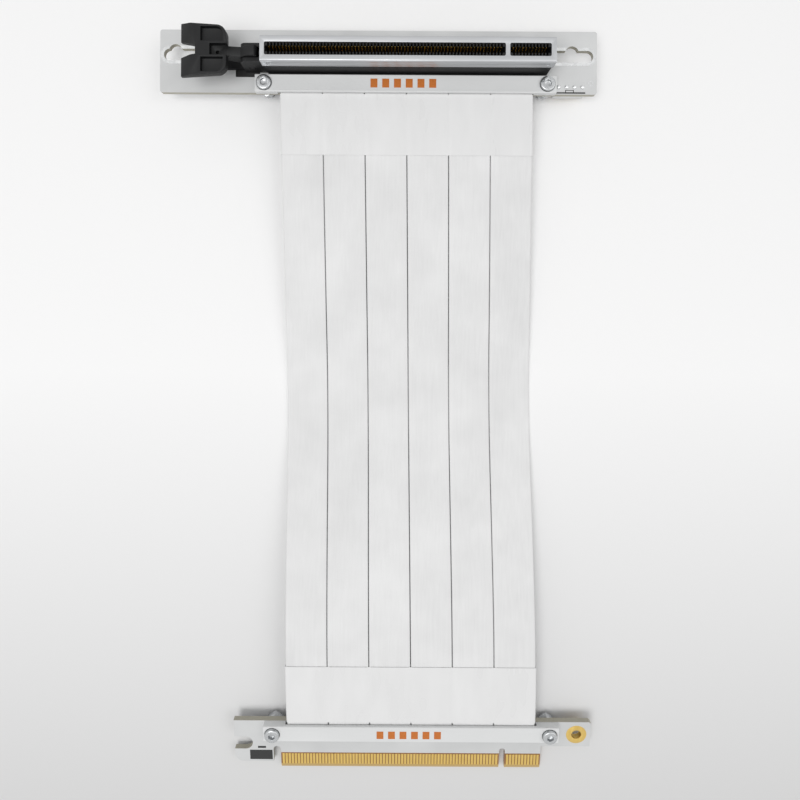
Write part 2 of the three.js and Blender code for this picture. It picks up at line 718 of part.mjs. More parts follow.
function piece(name, solid, material, x = 0, y = 0, z = 0) {
  const mesh = new THREE.Mesh(toGeometry(solid), material);
  mesh.name = name;
  mesh.position.set(x, y, z);
  return mesh;
}

// A clamp bar on its board with a screw through each end and a nut underneath
function clampSet(prefix, x, y, screwLength) {
  const set = new THREE.Group();
  set.add(piece(`${prefix}_clamp_bar`, clampBar(), whiteBar, x, y, boardTop + seatGap));
  for (const [side, sign] of [['left', -1], ['right', 1]]) {
    const screwX = x + sign * screwSpread;
    set.add(piece(`${prefix}_screw_${side}`, screw(screwLength), nickelled, screwX, y, headSeat));
    set.add(piece(`${prefix}_nut_${side}`, nut(), nickelled, screwX, y, -seatGap));
  }
  return set;
}

const slotEnd = new THREE.Group();
slotEnd.position.set(0, slotBoardY, slotBoardLift);
slotEnd.add(piece('slot_board', slotBoard(), whiteBoard));
slotEnd.add(piece('slot_housing', slotHousing(), blackMoulding));
slotEnd.add(piece('slot_shield', slotShield(), brightSteel));
slotEnd.add(piece('slot_latch', slotLatch(), blackMoulding));
slotEnd.add(clampSet('slot', slotBarX, slotBarY, slotScrewLength));
slotEnd.add(piece('aux_header', headerBody(), whiteBar));
pinPlaces.forEach((x, i) => {
  slotEnd.add(piece(`aux_pin_${i + 1}`, headerPin(), goldPlated, x, pinFromEdge, 0));
});

const plugEnd = new THREE.Group();
plugEnd.position.set(plugBoardX, plugHeelY, plating * Math.cos(plugTilt));
plugEnd.rotation.x = plugTilt;
plugEnd.add(piece('plug_board', plugBoard(), whiteBoard));
plugEnd.add(clampSet('plug', plugBarX, plugBarY - bevelRun, plugScrewLength));

const ribbons = new THREE.Group();
for (let lane = 0; lane < ribbonCount; lane += 1) {
  ribbons.add(piece(`ribbon_${lane + 1}`, ribbon(lane), whiteJacket));
}
const plugEdgeY = slotBoardY - boardsApart;
ribbons.add(piece('slot_film_band', filmBand(slotBoardY - filmFromSlotBoard), whiteFilm));
ribbons.add(piece('plug_film_band', filmBand(plugEdgeY + filmFromPlugBoard + filmLength), whiteFilm));

const riser = new THREE.Group();
riser.add(slotEnd, plugEnd, ribbons);
riser.updateMatrixWorld(true);
const extent = new THREE.Box3().setFromObject(riser, true);
riser.position.set(-(extent.min.x + extent.max.x) / 2, -(extent.min.y + extent.max.y) / 2, -extent.min.z);

export default riser;
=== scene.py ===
import math

import bpy
import bmesh
from mathutils import Matrix, Vector


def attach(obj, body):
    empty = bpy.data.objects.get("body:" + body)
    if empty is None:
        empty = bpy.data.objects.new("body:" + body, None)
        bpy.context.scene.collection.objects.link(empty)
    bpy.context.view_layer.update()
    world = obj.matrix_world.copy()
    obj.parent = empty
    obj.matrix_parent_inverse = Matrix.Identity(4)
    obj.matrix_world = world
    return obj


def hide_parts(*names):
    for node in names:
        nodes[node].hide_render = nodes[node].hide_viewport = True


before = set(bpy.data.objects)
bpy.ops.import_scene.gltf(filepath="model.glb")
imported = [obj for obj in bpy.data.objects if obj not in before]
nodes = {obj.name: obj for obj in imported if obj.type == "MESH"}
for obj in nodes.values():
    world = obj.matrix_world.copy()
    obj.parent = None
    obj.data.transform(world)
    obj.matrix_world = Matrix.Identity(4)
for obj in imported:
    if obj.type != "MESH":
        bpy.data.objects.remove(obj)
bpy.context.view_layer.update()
mm = 0.001

# Where the two ends of the cable stand, in millimetres of the part's frame
slotEnd = {"x": -0.3, "y": 100.1155, "z": 6.51}
plugEnd = {"x": -46.35, "y": -118.9535, "z": 0.04915, "tilt": 0.184255}
boards = {"thickness": 1.6, "skin": 0.05}
boardTop = boards["thickness"]
slotPlace = (Matrix.Translation((slotEnd["x"] * mm, slotEnd["y"] * mm, slotEnd["z"] * mm))
             @ Matrix.Scale(mm, 4))
plugPlace = (Matrix.Translation((plugEnd["x"] * mm, plugEnd["y"] * mm, plugEnd["z"] * mm))
             @ Matrix.Rotation(plugEnd["tilt"], 4, "X") @ Matrix.Scale(mm, 4))


# Camera: straight above, a little towards the slot, as in the photo
camera = {"place": (7.0, 32.7, 189.3), "roll": 0.33, "lens": 25.56, "sensor": 36, "shiftY": -0.11875,
          "nearest": 0.01}


def addCamera():
    data = bpy.data.cameras.new("camera")
    data.lens = camera["lens"]
    data.sensor_width = camera["sensor"]
    data.shift_y = camera["shiftY"]
    data.clip_start = camera["nearest"]
    obj = bpy.data.objects.new("camera", data)
    obj.location = [c * mm for c in camera["place"]]
    obj.rotation_euler = (0, 0, math.radians(camera["roll"]))
    bpy.context.scene.collection.objects.link(obj)
    bpy.context.scene.camera = obj


addCamera()
bpy.context.scene.view_settings.view_transform = "Standard"
print("camera placed")


# Materials: helpers

def linearColour(code):
    values = []
    for i in (1, 3, 5):
        c = int(code[i:i + 2], 16) / 255
        values.append(c / 12.92 if c <= 0.04045 else ((c + 0.055) / 1.055) ** 2.4)
    return (*values, 1.0)


def addNode(material, kind, settings=None, inputs=None):
    node = material.node_tree.nodes.new(kind)
    for key, value in (settings or {}).items():
        setattr(node, key, value)
    for key, value in (inputs or {}).items():
        if isinstance(value, bpy.types.NodeSocket):
            material.node_tree.links.new(value, node.inputs[key])
        else:
            node.inputs[key].default_value = value
    return node


def newMaterial(name, **surface):
    material = bpy.data.materials.new(name)
    material.use_nodes = True
    shader = material.node_tree.nodes["Principled BSDF"]
    for key, value in surface.items():
        shader.inputs[key.replace("_", " ")].default_value = value
    return material, shader


def setInput(material, shader, key, socket):
    material.node_tree.links.new(socket, shader.inputs[key])


def twoTone(material, factor, low, high):
    ramp = addNode(material, "ShaderNodeValToRGB", {}, {"Fac": factor})
    ramp.color_ramp.elements[0].color = linearColour(low)
    ramp.color_ramp.elements[1].color = linearColour(high)
    return ramp


def stretched(material, scale):
    where = addNode(material, "ShaderNodeTexCoord")
    return addNode(material, "ShaderNodeMapping", {}, {
        "Vector": where.outputs["Object"], "Scale": scale}).outputs["Vector"]


def grain(material, vector, scale, detail=3.0):
    return addNode(material, "ShaderNodeTexNoise", {}, {
        "Vector": vector, "Scale": scale, "Detail": detail, "Roughness": 0.55}).outputs["Fac"]


def bumped(material, shader, height, distance, strength):
    bump = addNode(material, "ShaderNodeBump", {}, {
        "Height": height, "Distance": distance, "Strength": strength})
    setInput(material, shader, "Normal", bump.outputs["Normal"])


def spread(material, value, low, high):
    return addNode(material, "ShaderNodeMapRange", {}, {
        "Value": value, "From Min": 0.3, "From Max": 0.7, "To Min": low, "To Max": high}).outputs["Result"]


# Extruded white jacket of the ribbons: satin, drawn lengthwise, so its marks run along the cable
def makeJacket():
    material, shader = newMaterial("extruded_white_jacket", IOR=1.5)
    along = stretched(material, (1, 0.04, 1))
    streak = grain(material, along, 1400, 2.0)  # die lines about 0.7 mm apart
    cloud = grain(material, stretched(material, (1, 1, 1)), 60, 2.0)
    mix = addNode(material, "ShaderNodeMath", {"operation": "MULTIPLY_ADD"}, {0: streak, 1: 0.5, 2: cloud})
    tone = twoTone(material, mix.outputs[0], "#DFDFDF", "#ECECEC")
    tone.color_ramp.elements[0].position = 0.45
    tone.color_ramp.elements[1].position = 1.0
    setInput(material, shader, "Base Color", tone.outputs["Color"])
    setInput(material, shader, "Roughness", spread(material, streak, 0.5, 0.62))
    bumped(material, shader, streak, 0.00002, 0.5)
    return material


# Clear film tape, drawn opaque in the white that shows through it, and glossier than the ribbons
def makeFilm():
    material, shader = newMaterial("clear_film_tape", IOR=1.49, Roughness=0.3)
    vector = stretched(material, (1, 0.3, 1))
    wrinkle = grain(material, vector, 160, 2.0)
    tone = twoTone(material, wrinkle, "#E2E2E2", "#EEEEEE")
    setInput(material, shader, "Base Color", tone.outputs["Color"])
    setInput(material, shader, "Roughness", spread(material, wrinkle, 0.24, 0.36))
    bumped(material, shader, wrinkle, 0.00008, 0.35)
    return material


# Cut edge of a board: bare glass-epoxy, darker and duller than the mask on its faces
def withCutEdge(material, colour):
    facing = addNode(material, "ShaderNodeSeparateXYZ", {}, {
        "Vector": addNode(material, "ShaderNodeTexCoord").outputs["Normal"]})
    upright = addNode(material, "ShaderNodeMath", {"operation": "ABSOLUTE"}, {0: facing.outputs["Z"]})
    edge = addNode(material, "ShaderNodeMath", {"operation": "LESS_THAN"}, {0: upright.outputs[0], 1: 0.6})
    mix = addNode(material, "ShaderNodeMix", {"data_type": "RGBA"}, {
        "Factor": edge.outputs[0], 6: colour, 7: linearColour("#A9A596")})
    return mix.outputs[2]


# White solder mask, screened and cured: a slight orange peel over the copper
def makeSolderMask():
    material, shader = newMaterial("white_solder_mask", IOR=1.52)
    plain = stretched(material, (1, 1, 1))
    peel = grain(material, plain, 900, 3.0)
    cloud = grain(material, plain, 70, 2.0)
    tone = twoTone(material, cloud, "#CFD0D0", "#DADBDB")
    tone.color_ramp.elements[0].position = 0.3
    tone.color_ramp.elements[1].position = 0.7
    setInput(material, shader, "Base Color", withCutEdge(material, tone.outputs["Color"]))
    setInput(material, shader, "Roughness", spread(material, peel, 0.3, 0.42))
    bumped(material, shader, peel, 0.00002, 0.4)
    return material


# The plug board: the same mask, drawn a little darker than on the slot board as painted shade, left off at
# the finger edge, where bare glass-epoxy shows
plugBoard = {"maskStart": 4.75, "bareLeft": 15.1, "bevelEnd": 0.45}


def makeShadedPlugMask():
    material, shader = newMaterial("white_solder_mask_shaded_over_laminate", IOR=1.52)
    plain = stretched(material, (1, 1, 1))
    peel = grain(material, plain, 900, 3.0)
    cloud = grain(material, plain, 70, 2.0)
    # Painted shade: these two mask tones are a little darker than the slot board's, for the light falling
    # off towards the near side
    mask = twoTone(material, cloud, "#CACBCB", "#D5D6D6")
    mask.color_ramp.elements[0].position = 0.3
    mask.color_ramp.elements[1].position = 0.7
    weave = addNode(material, "ShaderNodeTexWave", {"bands_direction": "X"}, {
        "Vector": plain, "Scale": 160, "Distortion": 1.0, "Detail": 1.0})
    bare = twoTone(material, weave.outputs["Fac"], "#7E5226", "#96652F")
    board = addNode(material, "ShaderNodeSeparateXYZ", {}, {"Vector": addNode(
        material, "ShaderNodeMapping", {"vector_type": "TEXTURE"}, {
            "Vector": addNode(material, "ShaderNodeTexCoord").outputs["Object"],
            "Location": (plugEnd["x"] * mm, plugEnd["y"] * mm, plugEnd["z"] * mm),
            "Rotation": (plugEnd["tilt"], 0, 0)}).outputs["Vector"]})
    low = addNode(material, "ShaderNodeMath", {"operation": "LESS_THAN"}, {
        0: board.outputs["Y"], 1: plugBoard["maskStart"] * mm})
    right = addNode(material, "ShaderNodeMath", {"operation": "GREATER_THAN"}, {
        0: board.outputs["X"], 1: plugBoard["bareLeft"] * mm})
    both = addNode(material, "ShaderNodeMath", {"operation": "MULTIPLY"}, {
        0: low.outputs[0], 1: right.outputs[0]})
    tips = addNode(material, "ShaderNodeMath", {"operation": "LESS_THAN"}, {
        0: board.outputs["Y"], 1: plugBoard["bevelEnd"] * mm})
    ground = addNode(material, "ShaderNodeMix", {"data_type": "RGBA"}, {
        "Factor": tips.outputs[0], 6: bare.outputs["Color"], 7: linearColour("#BE9E5E")})
    colour = addNode(material, "ShaderNodeMix", {"data_type": "RGBA"}, {
        "Factor": both.outputs[0], 6: withCutEdge(material, mask.outputs["Color"]), 7: ground.outputs[2]})
    setInput(material, shader, "Base Color", colour.outputs[2])
    setInput(material, shader, "Roughness", spread(material, peel, 0.3, 0.42))
    bumped(material, shader, peel, 0.00002, 0.4)
    return material


# Hard gold over nickel on the fingers and the ring: polished, with hairlines from plugging in
def makeGold():
    material, shader = newMaterial("hard_gold_plate", Metallic=1.0)
    rub = grain(material, stretched(material, (1, 0.08, 0.3)), 3500, 2.0)
    tone = twoTone(material, rub, "#D0AC58", "#E6CA80")
    setInput(material, shader, "Base Color", tone.outputs["Color"])
    setInput(material, shader, "Roughness", spread(material, rub, 0.28, 0.42))
    bumped(material, shader, rub, 0.00001, 0.4)
    return material


# Solder and tinned copper: bright, a little lumpy from the hot-air levelling
def makeTin():
    material, shader = newMaterial("tinned_copper", Metallic=1.0)
    lump = grain(material, stretched(material, (1, 1, 1)), 700, 2.0)
    tone = twoTone(material, lump, "#C9CBCC", "#EEEFEF")
    setInput(material, shader, "Base Color", tone.outputs["Color"])
    setInput(material, shader, "Roughness", spread(material, lump, 0.18, 0.34))
    bumped(material, shader, lump, 0.00006, 0.5)
    return material


# Glass-filled black moulding of the slot and the latch: dull, with a fine moulded texture
def makeBlackMoulding():
    material, shader = newMaterial("glass_filled_black_moulding", IOR=1.5, Specular_IOR_Level=0.35)
    plain = stretched(material, (1, 1, 1))
    fine = grain(material, plain, 5000, 3.0)
    cloud = grain(material, plain, 220, 2.0)
    tone = twoTone(material, cloud, "#08080A", "#111213")
    setInput(material, shader, "Base Color", tone.outputs["Color"])
    setInput(material, shader, "Roughness", spread(material, fine, 0.42, 0.6))
    bumped(material, shader, fine, 0.000012, 0.6)
    return material


# Stainless sheet of the shield: rolled lengthwise, so its grain runs along the slot
def makeShieldSteel():
    material, shader = newMaterial("rolled_stainless_sheet", Metallic=1.0)
    rolled = grain(material, stretched(material, (0.02, 1, 1)), 5200, 3.0)
    cloud = grain(material, stretched(material, (0.5, 1, 1)), 120, 2.0)
    tone = twoTone(material, cloud, "#B6B8BA", "#C3C4C6")
    setInput(material, shader, "Base Color", tone.outputs["Color"])
    setInput(material, shader, "Roughness", spread(material, rolled, 0.34, 0.48))
    bumped(material, shader, rolled, 0.000006, 0.5)
    return material


# Nickel-plated screws and nuts: turned and bright
def makeNickel():
    material, shader = newMaterial("nickel_plated_steel", Metallic=1.0)
    turned = grain(material, stretched(material, (1, 1, 8)), 2600, 2.0)
    tone = twoTone(material, turned, "#A9ABAD", "#CDCFD0")
    setInput(material, shader, "Base Color", tone.outputs["Color"])
    setInput(material, shader, "Roughness", spread(material, turned, 0.22, 0.36))
    bumped(material, shader, turned, 0.000008, 0.5)
    return material


# White moulded clamp bar: satin, with a faint texture from the mould
def makeBarPlastic():
    material, shader = newMaterial("white_moulded_bar", IOR=1.5)
    plain = stretched(material, (1, 1, 1))
    fine = grain(material, plain, 2400, 3.0)
    cloud = grain(material, stretched(material, (0.4, 1, 1)), 90, 2.0)
    tone = twoTone(material, cloud, "#D9DADA", "#E6E7E7")
    setInput(material, shader, "Base Color", tone.outputs["Color"])
    setInput(material, shader, "Roughness", spread(material, fine, 0.34, 0.46))
    bumped(material, shader, fine, 0.00001, 0.5)
    return material


# Screen-printed ink: flat colour, slightly uneven at this size
def makeInk(name, low, high):
    material, shader = newMaterial(name, IOR=1.48, Roughness=0.5)
    patch = grain(material, stretched(material, (1, 1, 1)), 1800, 2.0)
    tone = twoTone(material, patch, low, high)
    setInput(material, shader, "Base Color", tone.outputs["Color"])
    bumped(material, shader, patch, 0.000006, 0.4)
    return material


finishes = {
    "jacket": makeJacket(), "film": makeFilm(), "mask": makeSolderMask(), "shadedPlugMask": makeShadedPlugMask(),
    "gold": makeGold(), "tin": makeTin(), "black": makeBlackMoulding(), "shield": makeShieldSteel(),
    "nickel": makeNickel(), "bar": makeBarPlastic(),
    "blackInk": makeInk("black_screen_ink", "#161616", "#242424"),
    "orangeInk": makeInk("orange_screen_ink", "#B9601A", "#D07A2C"),
}
print("materials made")


# Making pieces

def clearSelection():
    bpy.ops.object.select_all(action="DESELECT")


def pick(obj):
    clearSelection()
    obj.select_set(True)
    bpy.context.view_layer.objects.active = obj


def applyModifiers(obj):
    pick(obj)
    for modifier in list(obj.modifiers):
        bpy.ops.object.modifier_apply(modifier=modifier.name)


def softenEdges(obj, width, segments=2, angle=30):
    bevel = obj.modifiers.new("bevel", "BEVEL")
    bevel.width = width
    bevel.segments = segments
    bevel.limit_method = "ANGLE"
    bevel.angle_limit = math.radians(angle)
    bevel.miter_outer = "MITER_ARC"


def smoothFaces(obj, angle=35):
    pick(obj)
    bpy.ops.object.shade_smooth_by_angle(angle=math.radians(angle))


def dress(obj, material):
    obj.data.materials.clear()
    obj.data.materials.append(finishes[material])


def finishPiece(obj, name, material, place=None, body="cable", stands=()):
    if place is not None:
        obj.data.transform(place)
    obj.name = name
    obj.data.name = name
    dress(obj, material)
    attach(obj, body)
    if stands:
        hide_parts(*stands)
    return obj


def meshPiece(name, points, faces):
    data = bpy.data.meshes.new(name)
    data.from_pydata([Vector(p) for p in points], [], faces)
    data.update()
    obj = bpy.data.objects.new(name, data)
    bpy.context.scene.collection.objects.link(obj)
    return obj


def addBlock(low, high):
    centre = [(a + b) / 2 for a, b in zip(low, high)]
    clearSelection()
    bpy.ops.mesh.primitive_cube_add(size=1, location=centre)
    obj = bpy.context.active_object
    obj.scale = [b - a for a, b in zip(low, high)]
    bpy.ops.object.transform_apply(location=True, rotation=True, scale=True)
    return obj


def addDrum(centre, radius, depth, sides=32):
    clearSelection()
    bpy.ops.mesh.primitive_cylinder_add(vertices=sides, radius=radius, depth=depth, location=centre)
    obj = bpy.context.active_object
    bpy.ops.object.transform_apply(location=True, rotation=True, scale=True)
    return obj


def joined(objects):
    clearSelection()
    for obj in objects:
        obj.select_set(True)
    bpy.context.view_layer.objects.active = objects[0]
    bpy.ops.object.join()
    return bpy.context.view_layer.objects.active


def copied(obj, matrix):
    twin = obj.copy()
    twin.data = obj.data.copy()
    twin.data.transform(matrix)
    bpy.context.scene.collection.objects.link(twin)
    return twin


def cut(obj, tool, operation="DIFFERENCE"):
    boolean = obj.modifiers.new("cut", "BOOLEAN")
    boolean.operation = operation
    boolean.object = tool
    boolean.solver = "EXACT"
    applyModifiers(obj)
    bpy.data.objects.remove(tool)
    return obj


# A copy of a CAD node with its loose triangles merged and its edges rounded
def roundedCopy(name, material, width, body="cable", segments=2):
    source = nodes[name]
    data = source.data.copy()
    obj = bpy.data.objects.new(f"{name}_rounded", data)
    bpy.context.scene.collection.objects.link(obj)
    pick(obj)
    bpy.ops.object.mode_set(mode="EDIT")
    bpy.ops.mesh.select_all(action="SELECT")
    bpy.ops.mesh.remove_doubles(threshold=0.000002)
    bpy.ops.mesh.dissolve_limited(angle_limit=math.radians(1))
    bpy.ops.mesh.normals_make_consistent(inside=False)
    bpy.ops.object.mode_set(mode="OBJECT")
    softenEdges(obj, width, segments)
    applyModifiers(obj)
    smoothFaces(obj)
    return finishPiece(obj, f"{name}_rounded", material, None, body, [name])


# Ribbons, laid along the route, in millimetres: y and z of the middle line
ribbons = {
    "count": 6, "pitch": 13.35, "width": 13.1, "thickness": 0.9, "edge": 0.3, "centreX": 8.65, "drift": 2.65,
    "boardY": 100.1155, "apart": 202.65, "stations": 96, "pathSteps": 80, "dip": 0.02,
    "route": [
        (104.9, 8.75), (102.5, 8.75), (99.5, 8.72), (95, 8.55), (88, 8.1), (82, 7.65), (70, 6.7), (58, 5.65),
        (46, 4.5), (34, 3.4), (24, 2.3), (16, 1.4), (8, 0.85), (0, 0.75), (-8, 0.95), (-16, 1.6), (-26, 2.7),
        (-38, 4.2), (-50, 5.6), (-62, 6.8), (-70, 7.3), (-77.5, 7.5), (-85, 7.3), (-92, 6.9), (-98, 6.25),
        (-102.3, 5.46), (-105, 4.95), (-107.5, 4.47),
    ],
}


def routeHeight(y):
    route = ribbons["route"]
    index = 0
    while index < len(route) - 2 and route[index + 1][0] > y:
        index += 1
    before = route[max(0, index - 1)]
    start, end = route[index], route[index + 1]
    after = route[min(len(route) - 1, index + 2)]
    span = end[0] - start[0]
    t = (y - start[0]) / span
    slopeStart = (end[1] - before[1]) / (end[0] - before[0])
    slopeEnd = (after[1] - start[1]) / (after[0] - start[0])
    return ((2 * t ** 3 - 3 * t ** 2 + 1) * start[1] + (t ** 3 - 2 * t ** 2 + t) * span * slopeStart
            + (3 * t ** 2 - 2 * t ** 3) * end[1] + (t ** 3 - t ** 2) * span * slopeEnd)


def laneX(y):
    along = min(1, max(0, (ribbons["boardY"] - y) / ribbons["apart"]))
    return ribbons["centreX"] + ribbons["drift"] * along


def station(y, offset):
    slope = (routeHeight(y + 0.3) - routeHeight(y - 0.3)) / 0.6
    up = Vector((0, -slope, 1)).normalized()
    return Vector((laneX(y) + offset, y, routeHeight(y))), up


def ribbonSection():
    half, thick, edge = ribbons["width"] / 2, ribbons["thickness"] / 2, ribbons["edge"]
    points = []
    for corner, (sx, sz) in enumerate([(1, -1), (1, 1), (-1, 1), (-1, -1)]):
        for step in range(4):
            angle = math.radians(-90 + 90 * corner + 30 * step)
            points.append((sx * (half - edge) + edge * math.cos(angle),
                           sz * (thick - edge) + edge * math.sin(angle)))
        if corner in (1, 3):  # the jacket is a hair lower over the gaps between its conductors
            for step in range(1, 16):
                x = sx * (half - edge) * (1 - step / 8)
                points.append((x, sz * (thick - ribbons["dip"] * (step % 2))))
    return points


def layStrip(name, section, offset, yStart, yEnd, count):
    points, faces = [], []
    for i in range(count + 1):
        y = yStart + (yEnd - yStart) * i / count
        centre, up = station(y, offset)
        for x, z in section:
            points.append((centre + Vector((x, 0, 0)) + up * z) * mm)
    n = len(section)
    for i in range(count):
        for k in range(n):
            a, b = i * n + k, i * n + (k + 1) % n
            faces.append((a, a + n, b + n, b))
    faces.append(tuple(range(n)))
    faces.append(tuple(reversed(range(count * n, count * n + n))))
    return meshPiece(name, points, faces)


def makeRibbons():
    route = ribbons["route"]
    first, last = route[0][0], route[-1][0]
    for lane in range(ribbons["count"]):
        offset = (lane - (ribbons["count"] - 1) / 2) * ribbons["pitch"]
        obj = layStrip(f"ribbon_{lane + 1}_laid", ribbonSection(), offset, first, last, ribbons["stations"])
        smoothFaces(obj, 60)
        finishPiece(obj, f"ribbon_{lane + 1}_laid", "jacket", None, "cable",
                    [f"ribbon_{lane + 1}"])


makeRibbons()
print("ribbons laid")


# Film tape round all six ribbons beside each board; it dips a little over each gap
film = {"thickness": 0.08, "gap": 0.12, "side": 0.2, "length": 19.0, "dip": 0.16, "dipWidth": 0.45,
        "slotStart": 99.5155, "plugStart": -82.9845, "stations": 14, "steps": 120}


def filmRing(out):
    lanes, pitch = ribbons["count"], ribbons["pitch"]
    half = (lanes * pitch - (pitch - ribbons["width"])) / 2 + film["side"] + out
    high = ribbons["thickness"] / 2 + film["gap"] + out
    edge = high * 0.8
    top = []
    steps = film["steps"]
    for i in range(steps + 1):
        x = -(half - edge) + 2 * (half - edge) * i / steps
        nearest = round(x / pitch) * pitch
        dip = 0
        if abs(nearest) < lanes / 2 * pitch - 1:  # a gap between two ribbons, not the outer edge
            dip = film["dip"] * math.exp(-((x - nearest) / film["dipWidth"]) ** 2)
        top.append((x, high - dip))
    right = [(half - edge + edge * math.cos(a), high * math.sin(a))
             for a in [math.radians(60 - 30 * k) for k in range(5)]]
    bottom = [(x, -z) for x, z in reversed(top)]
    left = [(-x, z) for x, z in reversed(right)]
    ring = top + right + bottom + left
    return list(reversed(ring))


def windFilm(name, yStart, node):
    inner, outer = filmRing(0), filmRing(film["thickness"])
    n = len(outer)
    points, faces = [], []
    for i in range(film["stations"] + 1):
        y = yStart - film["length"] * i / film["stations"]
        centre, up = station(y, 0)
        for ring in (outer, inner):
            for x, z in ring:
                points.append((centre + Vector((x, 0, 0)) + up * z) * mm)
    for i in range(film["stations"]):
        for k in range(n):
            a, b = i * 2 * n + k, i * 2 * n + (k + 1) % n
            faces.append((a, a + 2 * n, b + 2 * n, b))
            faces.append((a + n, b + n, b + 3 * n, a + 3 * n))
    last = film["stations"] * 2 * n
    for k in range(n):
        j = (k + 1) % n
        faces.append((k, j, j + n, k + n))
        faces.append((last + k, last + k + n, last + j + n, last + j))
    obj = meshPiece(name, points, faces)
    smoothFaces(obj, 50)
    return finishPiece(obj, name, "film", None, "cable", [node])


windFilm("slot_film_tape", film["slotStart"], "slot_film_band")
windFilm("plug_film_tape", film["plugStart"], "plug_film_band")
print("film wound")


# CAD nodes that keep their shape
dress(nodes["slot_board"], "mask")
dress(nodes["plug_board"], "shadedPlugMask")
dress(nodes["slot_housing"], "black")
for name in ("aux_pin_1", "aux_pin_2", "aux_pin_3", "aux_pin_4"):
    dress(nodes[name], "gold")

roundedCopy("slot_shield", "shield", 0.00007)
roundedCopy("slot_latch", "black", 0.00012, "latch")
roundedCopy("slot_clamp_bar", "bar", 0.00008)
roundedCopy("plug_clamp_bar", "bar", 0.00008)
roundedCopy("aux_header", "bar", 0.0001)
for name in ("slot_nut_left", "slot_nut_right", "plug_nut_left", "plug_nut_right"):
    roundedCopy(name, "nickel", 0.0002)
print("CAD pieces dressed")


# Spring contacts: one bent strip, copied into every cavity of the slot
contact = {"cardLine": 9.15, "width": 0.34, "thick": 0.16, "pitch": 1.0, "long": 71, "short": 11,
           "longStart": -33.65, "longLength": 72.0, "shortStart": 39.95, "shortLength": 12.1,
           "lean": [(1.62, 3.7), (1.62, 5.2), (1.45, 6.6), (1.05, 7.9), (0.72, 8.9), (0.66, 9.5),
                    (0.86, 10.3), (1.22, 11.1), (1.34, 11.5)]}


def makeContactStrip():
    y, z = contact["lean"][0]
    clearSelection()
    bpy.ops.mesh.primitive_plane_add(size=1, location=(0, y, z))
    obj = bpy.context.active_object
    obj.scale = (contact["width"], contact["thick"], 1)
    bpy.ops.object.transform_apply(location=True, rotation=True, scale=True)
    bpy.ops.object.mode_set(mode="EDIT")
    bpy.ops.mesh.select_all(action="SELECT")
    for (y0, z0), (y1, z1) in zip(contact["lean"], contact["lean"][1:]):
        bpy.ops.mesh.extrude_region_move(TRANSFORM_OT_translate={"value": (0, y1 - y0, z1 - z0)})
    bpy.ops.mesh.select_all(action="SELECT")
    bpy.ops.mesh.normals_make_consistent(inside=False)
    bpy.ops.object.mode_set(mode="OBJECT")
    return obj


def makeContacts():
    strip = makeContactStrip()
    copies = []
    line = contact["cardLine"]
    for start, length, count in ((contact["longStart"], contact["longLength"], contact["long"]),
                                 (contact["shortStart"], contact["shortLength"], contact["short"])):
        first = start + (length - (count - 1) * contact["pitch"]) / 2
        for i in range(count):
            x = first + i * contact["pitch"]
            for turn in (0, math.pi):
                place = Matrix.Translation((x, line, 0)) @ Matrix.Rotation(turn, 4, "Z")
                copies.append(copied(strip, place))
    bpy.data.objects.remove(strip)
    obj = joined(copies)
    smoothFaces(obj, 50)
    return finishPiece(obj, "slot_contacts", "gold", slotPlace)


makeContacts()
print("contacts set")


# Gold fingers over the copper of the plug board, both faces; they stop short of its bevelled tip
fingers = {"width": 0.7, "pitch": 1.0, "start": 0.42, "end": 4.35, "proud": 0.02, "sunk": 0.03, "over": 0.02,
           "longLeft": 15.1, "longWidth": 71.65, "long": 71,
           "shortLeft": 88.65, "shortWidth": 11.65, "short": 11}


def makeFingers(name, low, high):
    half = fingers["width"] / 2 + fingers["over"]
    plate = addBlock((-half, fingers["start"] + 0.02, low), (half, fingers["end"] + 0.03, high))
    softenEdges(plate, 0.02)
    applyModifiers(plate)
    copies = []
    for left, width, count in ((fingers["longLeft"], fingers["longWidth"], fingers["long"]),
                               (fingers["shortLeft"], fingers["shortWidth"], fingers["short"])):
        first = left + (width - (count - 1) * fingers["pitch"]) / 2
        for i in range(count):
            copies.append(copied(plate, Matrix.Translation((first + i * fingers["pitch"], 0, 0))))
    bpy.data.objects.remove(plate)
    obj = joined(copies)
    return finishPiece(obj, name, "gold", plugPlace)


makeFingers("gold_fingers_front", boardTop + fingers["sunk"], boardTop + boards["skin"] + fingers["proud"])
makeFingers("gold_fingers_back", -boards["skin"] - fingers["proud"] + 0.02, -fingers["sunk"])


# Gold ring round the plug board's ground hole
ring = {"x": 111.65, "y": 12.3, "outer": 3.32, "hole": 1.58, "proud": 0.025}


def makeRing():
    middle = (ring["x"], ring["y"], boardTop / 2)
    obj = addDrum(middle, ring["outer"], boardTop + 2 * (boards["skin"] + ring["proud"]), 48)
    cut(obj, addDrum(middle, ring["hole"], 4, 40))
    softenEdges(obj, 0.03)
    applyModifiers(obj)
    smoothFaces(obj)
    return finishPiece(obj, "ground_ring_gold", "gold", plugPlace)


makeRing()
print("gold laid")


# Tinned lands round the mounting slots of the slot board
lands = {"half": 1.9, "margin": 1.0, "y": 12.05, "edge": 68.45, "inner": 54.85, "rim": 69.4,
         "bumpRadius": 2.1, "bumpY": 13.3, "bumps": (-64.7, 61.7), "proud": 0.02, "overlap": 0.005}


def stadium(x0, x1, y, half, low, high):
    left = addDrum((x0 + half, y, (low + high) / 2), half, high - low, 40)
    right = addDrum((x1 - half, y, (low + high) / 2), half, high - low, 40)
    middle = addBlock((x0 + half, y - half, low), (x1 - half, y + half, high))
    return cut(cut(middle, left, "UNION"), right, "UNION")


